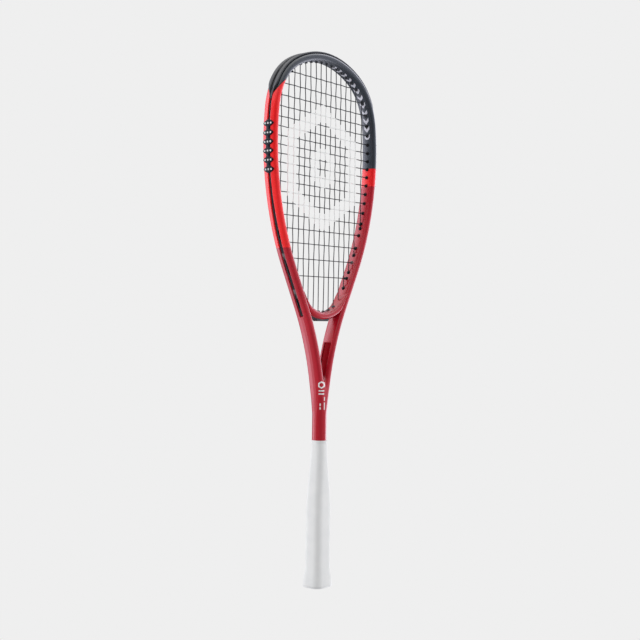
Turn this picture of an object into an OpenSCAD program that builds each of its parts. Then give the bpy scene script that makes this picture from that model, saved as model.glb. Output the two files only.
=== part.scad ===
// Squash racket, in millimetres. The hoop, legs and shaft are one hollow moulding; the throat
// bridge, bumper, grommet strips, strings, handle, butt cap and grip are separate pieces.
// X runs across the string bed, Y through it and Z up the racket. The origin is the middle
// of the butt cap's flat end.

/* [Hoop] */
// Overall length, from the butt to the top of the bumper
racket_len = 685; // [680:1:686]
// Depth of the tube, through the string bed
beam_d = 20; // [19:0.5:21]
// Width of the tube in the plane of the strings
beam_w = 10; // [9.5:0.5:10.5]
// Radius on the tube's corners
beam_r = 3.5; // [3:0.5:4]
// Wall of the tube
beam_wall = 1.5; // [1.3:0.1:1.6]

/* [Throat and shaft] */
// Radius of the bridge's string side
bridge_r = 50; // [49:1:51]
// Lowest point of the bridge's string side
bridge_z = 353; // [352:0.5:354]
// Underside of the throat grommet strip
throat_strip_z = 341; // [340:0.5:342]
// Width of the shaft
shaft_w = 16.8; // [16.4:0.2:17.2]
// Depth of the shaft
shaft_d = 19; // [18.6:0.2:19.4]
// Wall of the shaft
shaft_wall = 1.8; // [1.5:0.1:2.2]

/* [Strings] */
// Diameter of the string
string_d = 1.2; // [1:0.05:1.2]
// Pitch of the mains at the middle of the bed
main_pitch = 10.3; // [10:0.1:10.5]
// Gap between the last two mains on each side
last_main_gap = 13.4; // [13:0.1:14]
// Pitch of the crosses at the middle of the bed
cross_pitch = 11.1; // [10.9:0.1:11.3]

/* [Handle] */
// Top of the grip
grip_top = 184; // [180:1:190]
// Width of the grip along its straight part
grip_w = 30; // [29:0.5:32]
// Depth of the grip along its straight part
grip_d = 26; // [26:0.5:28]
// Thickness of the grip tape
wrap_t = 1.8; // [1.6:0.1:1.8]
// How far the butt stands out beyond the grip on each side
butt_flare = 2.25; // [1.5:0.25:2.5]

/* [Hidden] */
$fn = 48;
arc_fn = 144;      // facets on a full turn of the bridge's large arcs

// Groove around the hoop's outer face, and what lies in it
groove_w = 5;
groove_t = 2.6;
strip_t = 1.3;
fit_gap = 0.1;
half_w = beam_w/2;
groove_u = half_w - groove_t;
floor_u = groove_u + fit_gap;     // underside of what lies in the groove
bumper_rise = 2;
bumper_w = 15;
channel_w = 3.4;
bumper_tip_w = 9;
barrel_d = 3.4;
bore_d = 2;
barrel_proud = 1.2;
string_r = string_d/2;
string_y = string_r + 0.02;   // mains lie behind the crosses by this much each way
pad_channel_w = 4*string_r + 0.4;
loop_rise = strip_t - groove_t + string_r + 0.04;   // from the hoop's outer face to a loop
bumper_loop_rise = 1.2;

// Path of the tube's centre line, from the top of the head down the right side. Each stretch
// is [radius, sweep]: a positive radius bulges outwards, a negative one inwards, and a radius
// of zero is a straight of the length given.
top_z = racket_len - bumper_rise - half_w;
head_arcs = [[125.4, 30], [71.5, 40], [100, 8.2], [100, 5.8], [345, 33]];
leg_arcs = [[-350, 2.2], [-350, 14.8], [-223, 10]];
lean = 27;                    // slope of the straight, off the vertical
leg_end_x = shaft_w/2 - half_w;

function unit(a) = [cos(a), sin(a)];
function next_phi(s, phi) = s[0] == 0 ? phi : phi - sign(s[0])*s[1];
function next_point(s, p, phi) = s[0] == 0
    ? p + s[1]*[sin(phi), -cos(phi)]
    : p + s[0]*(unit(next_phi(s, phi)) - unit(phi));
function walk(segs, p, phi, i = 0) = i == len(segs) ? [[p, phi, 0, 0]] :
    concat([[p, phi, segs[i][0], segs[i][1]]],
        walk(segs, next_point(segs[i], p, phi), next_phi(segs[i], phi), i + 1));
function last(list) = list[len(list) - 1];

head_x = last(walk(head_arcs, [0, top_z], 90))[0][0];
leg_x = last(walk(leg_arcs, [0, 0], -lean))[0][0];
straight_len = (head_x + leg_x - leg_end_x)/sin(lean);
path = walk(concat(head_arcs, [[0, straight_len]], leg_arcs), [0, top_z], 90);
neck_z = last(path)[0][1];

// Stations along the path, as [point, angle of the normal]. The last stretch is the neck.
steps = [6, 9, 1, 1, 8, 2, 1, 4, 5];
function station(s, t) = s[2] == 0
    ? [s[0] + s[3]*t*[sin(s[1]), -cos(s[1])], s[1]]
    : (let (a = s[1] - sign(s[2])*s[3]*t) [centre(s) + s[2]*unit(a), a]);
function stations(first, final) = concat([station(path[first], 0)],
    [for (i = [first:final], k = [1:steps[i]]) station(path[i], k/steps[i])]);
function between(first, final) = concat([for (i = [first:final], k = [0.5:steps[i]])
    station(path[i], k/steps[i])], [station(path[final], 1)]);
function mirrored(list) = [for (i = [len(list) - 1:-1:0])
    [[-list[i][0][0], list[i][0][1]], 180 - list[i][1]]];
function over_the_top(list) = concat(mirrored([for (i = [1:len(list) - 1]) list[i]]), list);
TIP = 2;                      // stretch that the bumper's narrow tip covers
SIDE = 3;                     // first stretch of the side strip
SIDE_LAST = 4;                // last of the stretches that bulge outwards
SIDE_END = 6;
LEG_END = 7;
NECK = 8;

// Where the line at distance u outside the centre line meets x = want (k = 0) or z = want
// (k = 1), as [point, angle of the wall's normal]
function centre(s) = s[0] - s[2]*unit(s[1]);
function angle_for(s, u, want, k, low) = let (v = (want - centre(s)[k])/(s[2] + u))
    abs(v) > 1 ? 999 : k == 1 ? asin(v) : (low ? -1 : 1)*acos(v);
function meets(s, u, want, k, low) = s[2] > 0
    ? (let (a = angle_for(s, u, want, k, low))
        a <= s[1] + 0.001 && a >= s[1] - s[3] - 0.001 ? [[centre(s) + (s[2] + u)*unit(a), a]] : [])
    : s[2] == 0 && s[3] > 0
    ? (let (q = s[0] + u*unit(s[1]), d = [sin(s[1]), -cos(s[1])], t = (want - q[k])/d[k])
        t >= 0 && t <= s[3] && (low || k == 1) ? [[q + t*d, s[1]]] : [])
    : [];
function wall_at(u, want, k, low = false) = [for (s = path) each meets(s, u, want, k, low)][0];

// Where the strings lie: the crosses open out towards both ends of the bed
half_mains = 8;
bridge_mains = 3;             // mains on each side whose lower ends pass through the bridge
cross_count = 19;
mid_cross_z = racket_len - 149;
function main_x(i) = i < half_mains - 1
    ? main_pitch*(i + 0.5) + 0.007*pow(i + 0.5, 3)
    : main_x(i - 1) + last_main_gap;
function cross_z(i) = let (n = (cross_count - 1)/2 - i)
    mid_cross_z + cross_pitch*n - 0.143*n*n + 0.0365*n*n*n;

// A drilled hole for a string's end: [entry point on the string side, angle of the hole,
// angle of the wall's normal, length through the tube]. The hole leans halfway from the
// string's own line to the wall's normal.
function hole(hit, string_angle) = let (a = (hit[1] + string_angle)/2)
    [hit[0], a, hit[1], beam_w/cos(hit[1] - a)];
function cross_hole(i) = hole(wall_at(-half_w, cross_z(i), 1), 0);
function top_hole(i) = hole(wall_at(-half_w, main_x(i), 0), 90);
bridge_cz = bridge_z + bridge_r;
function bridge_face_z(x) = bridge_cz - sqrt(bridge_r*bridge_r - x*x);

// The strip under the bridge is flat in its middle, and a thin rail beyond that
throat_flat = 11;
throat_d = 7;
rail_t = 0.9;
throat_channel = 2*string_r;
function throat_z(x) = x < throat_flat
    ? throat_strip_z
    : bridge_cz - sqrt(pow(bridge_r + beam_w + rail_t, 2) - x*x);
function low_hole(i) = i < bridge_mains
    ? [[main_x(i), bridge_face_z(main_x(i))], -90, -90, bridge_face_z(main_x(i)) - throat_z(main_x(i))]
    : hole(wall_at(-half_w, main_x(i), 0, true), -90);
bumper_crosses = 3;
bumper_holes = concat([for (i = [0:half_mains - 1]) top_hole(i)],
    [for (i = [0:bumper_crosses - 1]) cross_hole(i)]);
side_holes = concat([for (i = [bumper_crosses:cross_count - 1]) cross_hole(i)],
    [for (i = [bridge_mains:half_mains - 1]) low_hole(i)]);
bridge_holes = [for (i = [0:bridge_mains - 1]) low_hole(i)];

// The six crosses whose grommets stand in wide diamond pads
PADS = [5:10];
pad_w = 15.6;
pad_h = 9.4;
pad_rise = 0.4;

// Handle: sections of the grip from bottom to top, [height, width, depth, corner radius]
shaft_r = 7.9;
shaft_bottom = 22;
neck_cavity_z = 245;
cap_floor = 4;
grip_bottom = 3;
straight_bottom = 26;
straight_top = 92;
straight_r = 9;
collar_t = 0.8;
collar_h = 4;
top_w = shaft_w + 2;
top_d = shaft_d + 2;
function grip_part(t) = (1 - cos(180*t))/2;
function grip_station(t) = let (g = 1 - grip_part(t))
    [straight_top + (grip_top - straight_top)*t, top_w + (grip_w - top_w)*g,
        top_d + (grip_d - top_d)*g, straight_r - 0.3*(1 - g)];
butt_stations = [[grip_bottom, grip_w + 2*butt_flare, grip_d + 2*butt_flare, 10.5],
    [9, grip_w + 2*butt_flare, grip_d + 2*butt_flare, 10.5],
    [17, grip_w + 0.6*butt_flare, grip_d + 0.6*butt_flare, 9.6],
    [straight_bottom, grip_w, grip_d, straight_r]];
grip_stations = concat(butt_stations, [for (i = [0:8]) grip_station(i/8)]);
corner_steps = 5;

// --- outlines and sweeps ---

// A rectangle with round corners, about the origin
module slab(w, d, r) {
    square([w - 2*r, d], center = true);
    square([w, d - 2*r], center = true);
    for (x = [-1, 1], y = [-1, 1])
        translate([x*(w/2 - r), y*(d/2 - r)])
            circle(r);
}

// A ring of profile points [distance outside the path, depth] standing across a station
function across(st, profile) = [for (q = profile) let (p = st[0] + q[0]*unit(st[1]))
    [p[0], q[1], p[1]]];

// One solid through a list of rings. Each end is closed by the convex faces in caps, which
// share the ring's points.
module through(rings, caps) {
    n = len(rings[0]);
    m = len(rings);
    walls = [for (i = [0:m - 2], k = [0:n - 1]) let (j = (k + 1) % n)
        [i*n + k, (i + 1)*n + k, (i + 1)*n + j, i*n + j]];
    final = [for (c = caps) [for (k = [len(c):-1:1]) (m - 1)*n + c[k % len(c)]]];
    polyhedron([for (r = rings) each r], concat(walls, caps, final), convexity = 10);
}

module sweep(list, profile, caps) {
    through([for (st = list) across(st, profile)], caps);
}

function all_of(profile) = [[for (i = [0:len(profile) - 1]) i]];
function box_profile(low_u, high_u, w) =
    [[low_u, -w/2], [low_u, w/2], [high_u, w/2], [high_u, -w/2]];

// A rectangle from low_u to high_u and w deep, with round corners of so many cuts each
function corner(u, v, r, from, cuts) = [for (k = [0:cuts]) let (a = from - 90*k/cuts)
    [u + r*cos(a), v + r*sin(a)]];
function round_profile(low_u, high_u, w, r, cuts) = concat(
    corner(high_u - r, w/2 - r, r, 90, cuts),
    corner(high_u - r, r - w/2, r, 0, cuts),
    corner(low_u + r, r - w/2, r, -90, cuts),
    corner(low_u + r, w/2 - r, r, 180, cuts));

module both_sides() {
    children();
    mirror([1, 0, 0])
        children();
}

// A cylinder along a string hole, from -before to after, measured from its entry
module rod(h, d, before, after) {
    translate([h[0][0], 0, h[0][1]])
        rotate([0, 90 - h[1], 0])
            translate([0, 0, -before])
                cylinder(d = d, h = before + after);
}

// Grommet barrels on the holes listed, from the strip to just inside the hoop
module barrels(holes) {
    for (h = holes)
        rod(h, barrel_d, barrel_proud, h[3]*(1 - 1.2/beam_w));
}

module bores(holes) {
    for (h = holes)
        rod(h, bore_d, 2*barrel_proud, h[3] + 2*bumper_rise);
}

// The diamond pads that stand in the side groove, from the groove's floor to rise
module pads(grow, rise) {
    for (i = PADS) {
        hit = wall_at(floor_u, cross_z(i), 1);
        translate([hit[0][0], 0, hit[0][1]])
            rotate([0, 90 - hit[1], 0])
                linear_extrude(groove_t + rise)
                    polygon([[pad_h/2 + grow, 0], [0, pad_w/2 + grow],
                        [-pad_h/2 - grow, 0], [0, -pad_w/2 - grow]]);
    }
}

// --- frame ---

// The hoop and legs, down to where the legs part
leg_foot = station(path[NECK], 0.2);
module hoop() {
    profile = round_profile(-half_w, half_w, beam_d, beam_r, 2);
    sweep(over_the_top(concat(stations(0, LEG_END), [leg_foot])), profile, all_of(profile));
}

module hoop_cavity() {
    profile = round_profile(-half_w + beam_wall, groove_u - beam_wall, beam_d - 2*beam_wall,
        beam_r - beam_wall, 1);
    list = stations(0, LEG_END);
    sweep(over_the_top([for (i = [0:len(list) - 2]) list[i]]), profile, all_of(profile));
}

// The groove turns between the hoop's own stations, so that no two edges meet
module hoop_groove() {
    profile = box_profile(groove_u, half_w + 1, groove_w);
    list = between(0, SIDE_END);
    sweep(concat(mirrored(list), list), profile, all_of(profile));
}

// The neck takes in both legs' feet and narrows to the shaft
neck_margin = 0.3;
neck_stations = [for (k = [0:steps[NECK]]) let (t = k/steps[NECK],
    st = station(path[NECK], 1 - t), edge = st[0] + half_w*unit(st[1]))
    [edge[1], 2*edge[0] + 2*neck_margin*t, shaft_d + (beam_d + 2*neck_margin - shaft_d)*t,
        shaft_r + (beam_r - shaft_r)*pow(t, 0.6)]];

module shaft_outline(grow = 0) {
    slab(shaft_w + 2*grow, shaft_d + 2*grow, shaft_r + grow);
}

module shaft_cavity() {
    translate([0, 0, shaft_bottom - 1])
        linear_extrude(neck_cavity_z - shaft_bottom + 1)
            shaft_outline(-shaft_wall);
}

module frame_shell() {
    difference() {
        union() {
            hoop();
            loft(concat([[shaft_bottom, shaft_w, shaft_d, shaft_r]], neck_stations));
        }
        hoop_cavity();
        hoop_groove();
        shaft_cavity();
    }
}

module frame() {
    color([0.60, 0.09, 0.16])
        difference() {
            frame_shell();
            both_sides() {
                pads(fit_gap, 2);
                for (h = concat(bumper_holes, side_holes))
                    rod(h, barrel_d + 2*fit_gap, 2, h[3] + 2);
            }
        }
}

// --- throat bridge ---

module bridge_arc(half_sweep) {
    translate([0, 0, bridge_cz])
        rotate([90, 0, 0])
            rotate([0, 0, -90 - half_sweep])
                rotate_extrude(angle = 2*half_sweep, $fn = arc_fn)
                    translate([bridge_r + half_w, 0])
                        children();
}

// Everything outside the string side of the hoop's lower wall, as a wide sweep
module beyond_the_wall() {
    profile = box_profile(-half_w - 0.02, 4*beam_w, 1.5*beam_d);
    list = stations(SIDE, LEG_END);
    sweep(list, profile, all_of(profile));
}

module bridge_blank() {
    wall = 2;
    bridge_edge_r = 0.48*beam_w;
    difference() {
        bridge_arc(58)
            slab(beam_w, beam_d, bridge_edge_r);
        bridge_arc(28)
            slab(beam_w - 2*wall, beam_d - 2*wall, bridge_edge_r - wall);
    }
}

module throat_bridge() {
    color([0.55, 0.08, 0.15])
        difference() {
            difference() {
                bridge_blank();
                both_sides()
                    beyond_the_wall();
            }
            both_sides() {
                for (h = bridge_holes)
                    rod(h, barrel_d + 2*fit_gap, 2, h[3]);
                translate([main_x(bridge_mains), 0, bridge_z])
                    cylinder(d = barrel_d, h = bridge_r);
            }
        }
}

// --- bumper and grommet strips ---

// Two ribs with a channel for the string between them, and a tongue that fills the groove
function bumper_profile(w) = let (t = groove_w/2 - fit_gap, c = channel_w/2,
    top = half_w + bumper_rise)
    [[floor_u, -t], [floor_u, t], [half_w, t], [half_w, w/2 - 0.5], [top - 0.8, w/2],
        [top, w/2 - 0.7], [top, c], [half_w, c], [half_w, -c], [top, -c], [top, 0.7 - w/2],
        [top - 0.8, -w/2], [half_w, 0.5 - w/2], [half_w, -t]];
bumper_caps = [[0, 1, 2, 7, 8, 13], [2, 3, 4, 5, 6, 7], [13, 8, 9, 10, 11, 12]];

module bumper_guard() {
    wide = over_the_top(stations(0, TIP - 1));
    tips = stations(TIP, TIP);
    tip = last(tips);
    narrow = bumper_profile(bumper_tip_w);
    color([0.07, 0.08, 0.09])
        difference() {
            union() {
                through(concat([across(mirrored([tip])[0], narrow)],
                    [for (st = wide) across(st, bumper_profile(bumper_w))],
                    [across(tip, narrow)]), bumper_caps);
                both_sides()
                    barrels(bumper_holes);
            }
            both_sides()
                bores(bumper_holes);
        }
}

// The pads' channel for the strings, which lie on the strip
module pad_channel() {
    profile = box_profile(groove_u + strip_t, half_w + 2, pad_channel_w);
    sweep(stations(SIDE, SIDE_LAST), profile, all_of(profile));
}

module side_strip() {
    profile = box_profile(floor_u, groove_u + strip_t, groove_w - 2*fit_gap);
    color([0.08, 0.09, 0.10])
        difference() {
            union() {
                sweep(stations(SIDE, SIDE_END), profile, all_of(profile));
                difference() {
                    pads(0, pad_rise);
                    pad_channel();
                }
                barrels(side_holes);
            }
            bores(side_holes);
        }
}

module grommet_strip_right() {
    side_strip();
}

module grommet_strip_left() {
    mirror([1, 0, 0])
        side_strip();
}

module throat_grommet_strip() {
    bridge_face_r = bridge_r + beam_w + 0.02;
    slope = 5;
    color([0.07, 0.08, 0.09])
        difference() {
            union() {
                difference() {
                    union() {
                        rotate([90, 0, 0])
                            linear_extrude(throat_d, center = true)
                                polygon([[-throat_flat, throat_strip_z], [throat_flat, throat_strip_z],
                                    [throat_flat + slope, throat_strip_z + slope],
                                    [-throat_flat - slope, throat_strip_z + slope]]);
                        bridge_arc(27)
                            translate([half_w + rail_t/2, 0])
                                square([rail_t, throat_d], center = true);
                    }
                    translate([0, 0, bridge_cz])
                        rotate([90, 0, 0])
                            cylinder(r = bridge_face_r, h = 2*throat_d, center = true, $fn = arc_fn);
                    translate([-throat_flat - slope, -channel_w/2, throat_strip_z - 1])
                        cube([2*throat_flat + 2*slope, channel_w, 1 + throat_channel]);
                }
                both_sides()
                    for (i = [0:bridge_mains - 1]) let (h = bridge_holes[i])
                        rod(h, barrel_d, barrel_proud, h[3] - (i == 0 ? throat_channel + 0.4 : 0.3));
            }
            both_sides()
                bores(bridge_holes);
        }
}

// --- strings ---

// Route points are [point in the string plane, angle of the wall's normal]
function exit_point(h, rise) = h[0] + (h[3] + rise/cos(h[2] - h[1]))*unit(h[1]);
function flip(p, left) = left ? [-p[0], p[1]] : p;
function turn(a, left) = left ? 180 - a : a;
function arch(a, b, na, nb) = let (n = unit(na) + unit(nb), bend = acos(min(1, norm(n)/2))/2)
    (a + b)/2 + norm(b - a)/2*tan(bend)*n/norm(n);

// The two ends of a run, each as [exit point, entry point, normal angle at the exit]
function run_end(h, rise, left) =
    [flip(exit_point(h, rise), left), flip(h[0], left), turn(h[2], left)];
function main_top(j) = let (left = j < half_mains, i = left ? half_mains - 1 - j : j - half_mains)
    run_end(top_hole(i), bumper_loop_rise, left);
function main_low(j) = let (left = j < half_mains, i = left ? half_mains - 1 - j : j - half_mains)
    i < bridge_mains
        ? run_end(low_hole(i), i == 0 ? -1.2*string_r : string_r + 0.35, left)
        : run_end(low_hole(i), loop_rise, left);
function cross_end(i, left) =
    run_end(cross_hole(i), i < bumper_crosses ? bumper_loop_rise : loop_rise, left);
function serpentine(ends) = [for (j = [0:len(ends) - 1]) each
    let (a = ends[j][0], b = ends[j][1])
    concat([a[0], a[1], b[1], b[0]],
        j < len(ends) - 1 ? [arch(b[0], ends[j + 1][0][0], b[2], ends[j + 1][0][2])] : [])];
main_ends = [for (j = [0:2*half_mains - 1]) j % 2 == 0
    ? [main_low(j), main_top(j)]
    : [main_top(j), main_low(j)]];
cross_ends = [for (i = [0:cross_count - 1]) i % 2 == 0
    ? [cross_end(i, true), cross_end(i, false)]
    : [cross_end(i, false), cross_end(i, true)]];

function heading(a, b) = (b - a)/norm(b - a);
function side_of(v) = [-v[1], v[0]];
// In-plane offset of a tube's ring at point i, mitred between its two neighbours
function mitre(pts, i) = let (n = len(pts),
    u = heading(pts[max(i - 1, 0)], pts[max(i, 1)]),
    v = heading(pts[min(i, n - 2)], pts[min(i + 1, n - 1)]),
    m = side_of(heading([0, 0], u + v)))
    m/max(0.5, m*side_of(u));

// A tube of radius r through the points of a route that lies in the plane y = depth
module string_tube(pts, r, depth, sides = 8) {
    rings = [for (i = [0:len(pts) - 1]) let (m = mitre(pts, i))
        each [for (k = [0:sides - 1]) let (a = 360*(k + 0.5)/sides)
            [pts[i][0] + r*cos(a)*m[0], depth + r*sin(a), pts[i][1] + r*cos(a)*m[1]]]];
    walls = [for (i = [0:len(pts) - 2], k = [0:sides - 1]) let (n = (k + 1) % sides)
        [i*sides + k, i*sides + n, (i + 1)*sides + n, (i + 1)*sides + k]];
    first = [for (k = [sides - 1:-1:0]) k];
    final = [for (k = [0:sides - 1]) (len(pts) - 1)*sides + k];
    polyhedron(rings, concat(walls, [first, final]), convexity = 10);
}

module main_string() {
    color([0.16, 0.17, 0.18])
        string_tube(serpentine(main_ends), string_r, string_y);
}

module cross_string() {
    color([0.16, 0.17, 0.18])
        string_tube(serpentine(cross_ends), string_r, -string_y);
}

// Each string is knotted at both ends, round the run just inside the hoop
module knot() {
    knot_r = 1.8;
    knot_h = 2.6;
    turn = [0:30:330];
    linear_extrude(knot_h, center = true)
        difference() {
            polygon([for (a = turn) knot_r*unit(a)]);
            polygon([for (a = turn) (string_r + 0.05)*unit(a)]);
        }
}

module tie_off_knots() {
    inset = 5;
    color([0.12, 0.13, 0.14]) {
        for (j = [0, 2*half_mains - 1])
            translate([main_low(j)[1][0], string_y, main_low(j)[1][1] + inset])
                knot();
        translate([cross_end(0, true)[1][0] + inset, -string_y, cross_z(0)])
            rotate([0, 90, 0])
                knot();
        translate([cross_end(cross_count - 1, false)[1][0] - inset, -string_y,
            cross_z(cross_count - 1)])
            rotate([0, 90, 0])
                knot();
    }
}

// --- handle ---

// One ring of a rounded rectangle at a station, shrunk by inset
function ring(s, inset) = let (r = max(s[3] - inset, 1),
    x = s[1]/2 - inset - r, y = s[2]/2 - inset - r)
    [for (q = [0:3], k = [0:corner_steps]) let (a = 90*q + 90*k/corner_steps,
        sx = (q == 0 || q == 3) ? 1 : -1, sy = q < 2 ? 1 : -1)
        [sx*x + r*cos(a), sy*y + r*sin(a), s[0]]];

// A closed loft through stations
module loft(stations, inset = 0) {
    n = 4*(corner_steps + 1);
    m = len(stations);
    points = [for (s = stations) each ring(s, inset)];
    walls = [for (i = [0:m - 2], k = [0:n - 1]) let (j = (k + 1) % n)
        [i*n + k, (i + 1)*n + k, (i + 1)*n + j, i*n + j]];
    bottom = [for (k = [0:n - 1]) k];
    top = [for (k = [n - 1:-1:0]) (m - 1)*n + k];
    polyhedron(points, concat(walls, [bottom, top]), convexity = 4);
}

// A sleeve: the skin between the stations and the same stations shrunk by t
module sleeve(stations, t) {
    n = 4*(corner_steps + 1);
    m = len(stations);
    outer = [for (s = stations) each ring(s, 0)];
    inner = [for (s = stations) each ring(s, t)];
    o = m*n;
    walls = [for (i = [0:m - 2], k = [0:n - 1]) let (j = (k + 1) % n) each
        [[i*n + k, (i + 1)*n + k, (i + 1)*n + j, i*n + j],
            [o + i*n + j, o + (i + 1)*n + j, o + (i + 1)*n + k, o + i*n + k]]];
    rims = [for (k = [0:n - 1]) let (j = (k + 1) % n, e = (m - 1)*n) each
        [[k, j, o + j, o + k], [e + j, e + k, o + e + k, o + e + j]]];
    polyhedron(concat(outer, inner), concat(walls, rims), convexity = 6);
}

// The foam moulding is straight below, where the butt cap slides over it
moulding_stations = [for (s = grip_stations) if (s[0] > straight_bottom) s];
moulding_foot = [cap_floor, grip_w, grip_d, straight_r];

module moulding() {
    difference() {
        loft(concat([moulding_foot], moulding_stations), wrap_t + fit_gap);
        translate([0, 0, shaft_bottom])
            linear_extrude(grip_top)
                shaft_outline(fit_gap/2);
    }
}

module handle_shell_front() {
    color([0.86, 0.82, 0.70])
        difference() {
            moulding();
            translate([-50, 0.05, -1])
                cube([100, 50, 300]);
            staples();
        }
}

module handle_shell_back() {
    color([0.86, 0.82, 0.70])
        difference() {
            moulding();
            translate([-50, -49.95, -1])
                cube([100, 50, 300]);
            staples();
        }
}

module shaft_end_plug() {
    color([0.25, 0.25, 0.26])
        translate([0, 0, shaft_bottom])
            linear_extrude(18)
                shaft_outline(-shaft_wall);
}

module butt_cap() {
    lip = [grip_bottom, grip_w + 2*butt_flare, grip_d + 2*butt_flare, 10.5];
    color([0.90, 0.90, 0.90])
        difference() {
            union() {
                loft([[0, lip[1] - 2.4, lip[2] - 2.4, 9.5], [0.5, lip[1] - 0.8, lip[2] - 0.8, 10.2],
                    [1.4, lip[1], lip[2], 10.5], lip]);
                loft(concat([[1, lip[1], lip[2], 10.5]], [for (s = butt_stations) s]), wrap_t + 0.02);
            }
            translate([0, 0, cap_floor])
                linear_extrude(straight_bottom)
                    slab(grip_w - 2*wrap_t, grip_d - 2*wrap_t, straight_r - wrap_t);
            staples();
        }
}

staple_z = 11;
staple_leg = 6.5;
staple_span = 8;
staple_wire = 0.9;

module staple() {
    translate([-staple_wire, -staple_wire/2, 0])
        cube([staple_wire, staple_wire, staple_span]);
    for (z = [0, staple_span - staple_wire])
        translate([-staple_leg, -staple_wire/2, z])
            cube([staple_leg, staple_wire, staple_wire]);
}

module staples() {
    out = grip_w/2 - 0.4;
    for (y = [-5.5, 5.5])
        both_sides()
            translate([out, y, staple_z])
                staple();
}

module butt_cap_staples() {
    color([0.75, 0.75, 0.77])
        staples();
}

module grip_wrap() {
    color([0.93, 0.93, 0.93])
        sleeve(grip_stations, wrap_t);
}

module grip_collar() {
    color([0.95, 0.95, 0.95])
        translate([0, 0, grip_top])
            linear_extrude(collar_h)
                difference() {
                    shaft_outline(collar_t);
                    shaft_outline(0.02);
                }
}

frame();
throat_bridge();
bumper_guard();
grommet_strip_left();
grommet_strip_right();
throat_grommet_strip();
main_string();
cross_string();
tie_off_knots();
handle_shell_front();
handle_shell_back();
shaft_end_plug();
butt_cap();
butt_cap_staples();
grip_wrap();
grip_collar();
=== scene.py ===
import math

import bmesh
import bpy
from mathutils import Matrix, Vector

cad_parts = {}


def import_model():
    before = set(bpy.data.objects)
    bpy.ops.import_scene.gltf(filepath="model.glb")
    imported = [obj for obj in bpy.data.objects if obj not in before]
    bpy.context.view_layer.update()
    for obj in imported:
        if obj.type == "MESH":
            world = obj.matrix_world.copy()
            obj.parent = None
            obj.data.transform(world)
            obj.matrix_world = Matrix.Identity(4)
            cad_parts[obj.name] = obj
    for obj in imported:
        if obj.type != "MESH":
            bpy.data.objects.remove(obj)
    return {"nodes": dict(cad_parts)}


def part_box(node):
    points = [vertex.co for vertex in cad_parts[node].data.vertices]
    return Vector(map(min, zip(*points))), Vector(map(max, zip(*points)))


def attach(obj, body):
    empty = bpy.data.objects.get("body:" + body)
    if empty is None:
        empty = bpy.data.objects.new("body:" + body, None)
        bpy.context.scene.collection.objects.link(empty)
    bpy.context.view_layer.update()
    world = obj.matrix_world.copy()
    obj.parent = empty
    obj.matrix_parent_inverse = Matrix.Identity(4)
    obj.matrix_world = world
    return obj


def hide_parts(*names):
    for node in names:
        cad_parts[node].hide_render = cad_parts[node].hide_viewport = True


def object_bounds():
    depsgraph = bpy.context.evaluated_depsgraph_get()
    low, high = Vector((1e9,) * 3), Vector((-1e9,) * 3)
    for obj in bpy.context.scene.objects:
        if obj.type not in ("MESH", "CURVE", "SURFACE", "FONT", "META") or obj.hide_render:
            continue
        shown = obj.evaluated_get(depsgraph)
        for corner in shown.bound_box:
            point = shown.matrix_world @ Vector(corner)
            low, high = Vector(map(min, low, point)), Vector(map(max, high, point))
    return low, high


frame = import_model()
cad_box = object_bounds()

# Everything below is worked out in millimetres and turned to metres when a mesh is made.
MM = 0.001


def node_box(name):
    low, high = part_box(name)
    return [v / MM for v in low], [v / MM for v in high]


def unit(degrees):
    return Vector((math.cos(math.radians(degrees)), math.sin(math.radians(degrees))))


def mix(a, b, t):
    return a + (b - a) * t


def smooth(t):
    t = min(1.0, max(0.0, t))
    return t * t * (3 - 2 * t)


# --- driving dimensions, as in the CAD model ---

RACKET_LEN = cad_box[1][2] / MM
HALF_W = 5.0
HALF_D = node_box("throat_bridge")[1][1]
CORNER_R = 3.5
BUMPER_RISE = 2.0
GROOVE_HALF = 2.5
GROOVE_DEPTH = 2.6
STRIP_T = 1.3
STRING_R = 0.6
SHAFT_HALF_W = 8.4
SHAFT_HALF_D = 9.5
SHAFT_R = 7.9
SHAFT_BOTTOM = node_box("shaft_end_plug")[0][2]
PLUG_TOP = node_box("shaft_end_plug")[1][2]
SHAFT_WALL = 1.8
BRIDGE_R = 50.0
BRIDGE_Z = node_box("throat_bridge")[0][2] + 2 * HALF_W
BRIDGE_CZ = BRIDGE_Z + BRIDGE_R
RAIL_T = 0.9
THROAT_FLAT = 11.0
THROAT_Z = node_box("throat_grommet_strip")[0][2]
GRIP_TOP = node_box("grip_wrap")[1][2]
GRIP_BOTTOM = node_box("grip_wrap")[0][2]
GRIP_W = 30.0
GRIP_D = 26.0
WRAP_T = 1.8
BUTT_FLARE = 2.25
COLLAR_TOP = node_box("grip_collar")[1][2]

# Centre line of the tube, from the top of the head down the right side, as [radius, sweep]
# arcs: a positive radius bulges outwards, a negative one inwards, and zero is a straight.
TOP_Z = RACKET_LEN - BUMPER_RISE - HALF_W
HEAD_ARCS = [(125.4, 30), (71.5, 40), (100, 8.2), (100, 5.8), (345, 33)]
SIDE, LEG_END, NECK = 3, 7, 8
LEG_ARCS = [(-350, 2.2), (-350, 14.8), (-223, 10)]
LEAN = 27


def walk(arcs, point, phi):
    stretches = []
    for radius, sweep in arcs:
        stretches.append((point, phi, radius, sweep))
        if radius == 0:
            point = point + sweep * Vector((math.sin(math.radians(phi)), -math.cos(math.radians(phi))))
        else:
            after = phi - math.copysign(sweep, radius)
            point = point + radius * (unit(after) - unit(phi))
            phi = after
    stretches.append((point, phi, 0, 0))
    return stretches


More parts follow.
